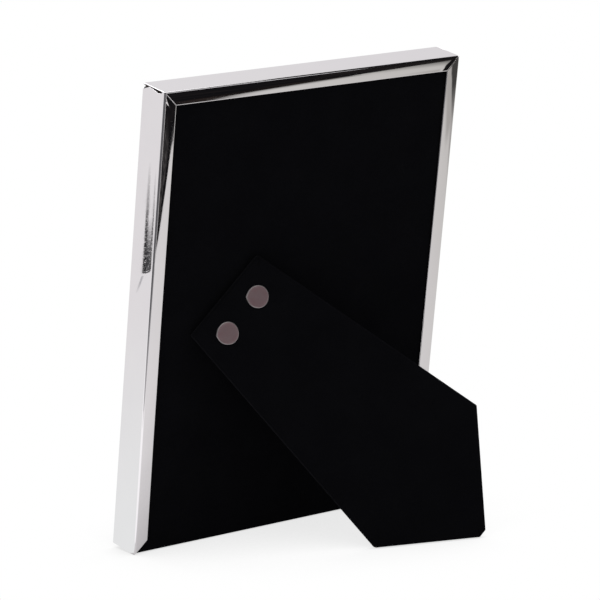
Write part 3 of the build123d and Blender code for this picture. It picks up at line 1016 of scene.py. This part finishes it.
def reflected_card(name, corners, paint):
    """A card that only polished metal shows. Its corners run along its first side and back along
    its last."""
    stage_card(name, corners, paint, camera=False, diffuse=False, shadow=False, transmission=False)


def flat_card(name, corners, level, paint):
    """A card that lies on the table, at one of several levels just above it."""
    reflected_card(name, [(x, y, level * 1e-4) for x, y in corners], paint)


def build_stage():
    """The table, and the things round it that the polished rails reflect. Places are in metres."""
    far = 6.0
    below = -1e-4
    stage_card("table", [
        (-far, -far, below), (far, -far, below), (far, far, below), (-far, far, below)],
        table_paint())
    # The table's near edge runs square to the camera's view, and the room beyond it is dark.
    black = card_paint("black_room", "#151517", dim="#262222")
    view = Vector((0.599, 0.8))
    edge = Vector((-0.8, 0.599))
    near = view * 0.156
    beyond = view * 4.0
    flat_card("floor_beyond", [
        near + edge * 14, near - edge * 3, beyond - edge * 3, beyond + edge * 14], 2, black)
    wall = view * 1.4
    for name, end, other, height in (("wall_beyond", -3, 3, 2.5), ("wall_aside", 5, 14, 3.2)):
        ends = (*(wall + edge * end),), (*(wall + edge * other),)
        reflected_card(name, [
            (*ends[0], 0), (*ends[1], 0), (*ends[1], height), (*ends[0], height)], black)
    # The dark ceiling past the lamps, which darkens the top edge of the photo's right half.
    reflected_card("dark_ceiling", [
        (-3.2, -1.3, 1.46), (-0.88, -1.3, 1.46), (-0.88, 3.4, 1.46), (-3.2, 3.4, 1.46)], black)
    # Dim things along that edge, which blur its reflection in the top lip.
    flat_card("haze_near", [(-0.22, 0.335), (-0.44, 0.49), (-0.44, 0.58), (-0.22, 0.40)], 3,
              card_paint("dark_haze", "#1A1716", dim="#3A322F", soft_sides=0.5))
    flat_card("haze_far", [(-0.74, 0.66), (-0.62, 0.80), (-0.40, 0.52), (-0.50, 0.42)], 3,
              card_paint("dim_haze", "#1E1C1C", dim="#322E2D", fading=1.0))
    # A dark thing at the side, whose edge shows in the outer half of the photo's right lip.
    flat_card("card_aside", [(-0.434, 0.42), (-0.95, 0.50), (-0.85, 0.10), (-0.426, 0.245)], 4,
              card_paint("grey_card", "#4A4947", soft_ends=0.04, fading=0.5))
    flat_card("dim_aside", [(-0.345, 0.26), (-0.365, 0.39), (-0.50, 0.42), (-0.50, 0.25)], 3,
              card_paint("dim_card", "#BDBBB6", soft_ends=0.2, soft_sides=0.3))
    flat_card("haze_aside", [(-0.44, 0.31), (-0.335, 0.185), (-0.36, 0.12), (-0.52, 0.27)], 5,
              card_paint("pale_haze", "#A8A6A3", soft_ends=0.4, soft_sides=0.3))
    # In the dark room: a mottled patch, a pale strip and the greyer floor to its right, which is
    # paler along the table.
    flat_card("patch_beyond", [(-0.175, 0.345), (-0.055, 0.245), (-0.045, 0.28), (-0.155, 0.40)], 3,
              card_paint("mottled_floor", "#242425", dim="#6E6A68", patch_mm=9.0, soft_sides=0.2,
                         soft_ends=0.2))
    flat_card("pale_strip", [(0.0, 0.24), (-0.165, 0.766), (-0.287, 0.713), (-0.0375, 0.223)], 6,
              card_paint("pale_floor", "#F2F0EE"))
    flat_card("grey_strip", [(-0.03, 0.218), (-0.40, 1.13), (2.6, 1.2), (1.6, -1.002)], 4,
              card_paint("grey_floor", "#6C6C6E"))
    flat_card("pale_edge", [(-0.03, 0.2175), (0.35, -0.067), (0.41, 0.013), (0.03, 0.2975)], 5,
              card_paint("pale_edge", "#CACACA", fading=1.0))
    # The studio's rear wall, greyer away from the window, which shades the photo's top face.
    reflected_card("pale_wall", [
        (-1.55, -1.07, 0.0), (-1.55, -1.07, 2.6), (-0.79, -1.71, 2.6), (-0.79, -1.71, 0.0)],
        card_paint("pale_wall", "#E9E6E8", fading=1.0))
    # A dark doorway before the frame, which gives its polished face a gradient from the front.
    reflected_card("doorway_before", [
        (-0.45, -1.7, 0.1), (0.9, -1.7, 0.1), (0.9, -1.7, 0.85), (-0.45, -1.7, 0.85)],
        card_paint("dark_doorway", "#707074", soft_ends=0.15, soft_sides=0.5))
    # The table beside the frame, where its wall throws light back on it.
    flat_card("lit_table", [(0.154, 0.028), (0.026, -0.068), (0.264, -0.452), (0.456, -0.308)], 1,
              card_paint("lit_table", "#FBFFFD", strength=1.12, fading=1.0))
    # The brightest part of the table, which lines the photo's left edge.
    flat_card("bright_patch", [(0.083, -0.02), (0.083, 0.112), (0.6, -0.27), (0.45, -0.42)], 2,
              card_paint("bright_table", "#FFFFFF", strength=1.3))
    # Something ragged beside the frame, whose reflection is the streak down the photo's left wall.
    stand = Vector((0.1061, -0.0753, 0.0))
    across = Vector((0.806, 0.592, 0.0)) * MM
    streaks = {
        "ragged_edge": (
            "#08080A", [(7.7, 108.9), (9.6, 108.9), (12.2, 158.0), (11.3, 158.0)], 0.55),
        "ragged_line": (
            "#161618", [(10.8, 110.0), (11.5, 110.0), (14.3, 155.0), (13.8, 155.0)], 0.6),
        "ragged_web": (
            "#4A4A4C", [(9.2, 108.9), (11.0, 109.5), (12.5, 134.0), (10.6, 134.0)], 0.45),
        "ragged_tail": ("#CDCDCF", [(7.5, 107.8), (8.4, 107.8), (5.6, 100.0), (4.9, 100.0)], 0.0),
    }
    for name, (shade, corners, torn) in streaks.items():
        reflected_card(name, [stand + across * a + Vector((0, 0, up * MM)) for a, up in corners],
                       card_paint(f"{name}_dark", shade, torn=torn, fading=0.6))


def hang_lamp(name, place, aim, size):
    """A square softbox that the camera doesn't see."""
    lamp = bpy.data.lights.new(name, "AREA")
    lamp.size = size
    lamp.energy = LAMP_WATTS
    holder = bpy.data.objects.new(name, lamp)
    holder.location = place
    holder.rotation_euler = (Vector(aim) - Vector(place)).to_track_quat("-Z", "Y").to_euler()
    holder.visible_camera = False
    bpy.context.scene.collection.objects.link(holder)


def light_studio():
    """Three weak softboxes in the white surroundings: before the frame, above it and beside it."""
    light_world()
    hang_lamp("softbox_before", (0.05, -1.1, 1.35), (0.0, 0.0, 0.1), 0.9)
    hang_lamp("softbox_aside", (-0.08, -0.1, 1.45), (-0.08, -0.1, 0.0), 1.6)
    hang_lamp("softbox_beside", (1.7, 0.9, 1.1), (0.0, 0.0, 0.1), 0.9)


def set_camera():
    """The camera that was fitted to the photographed edges."""
    lens = bpy.data.cameras.new("camera")
    lens.sensor_width = 36.0
    lens.lens = 212.51
    camera = bpy.data.objects.new("camera", lens)
    camera.location = (0.87495, 1.15781, 0.44592)
    target = Vector((-0.01102, -0.02652, 0.09825))
    camera.rotation_euler = (target - camera.location).to_track_quat("-Z", "Y").to_euler()
    bpy.context.scene.collection.objects.link(camera)
    bpy.context.scene.camera = camera


dress_rails()
dress_velvet()
dress_rivets()
dress_glass()
finish_solids()
build_stage()
light_studio()
set_camera()
bpy.context.scene.view_settings.view_transform = "Standard"
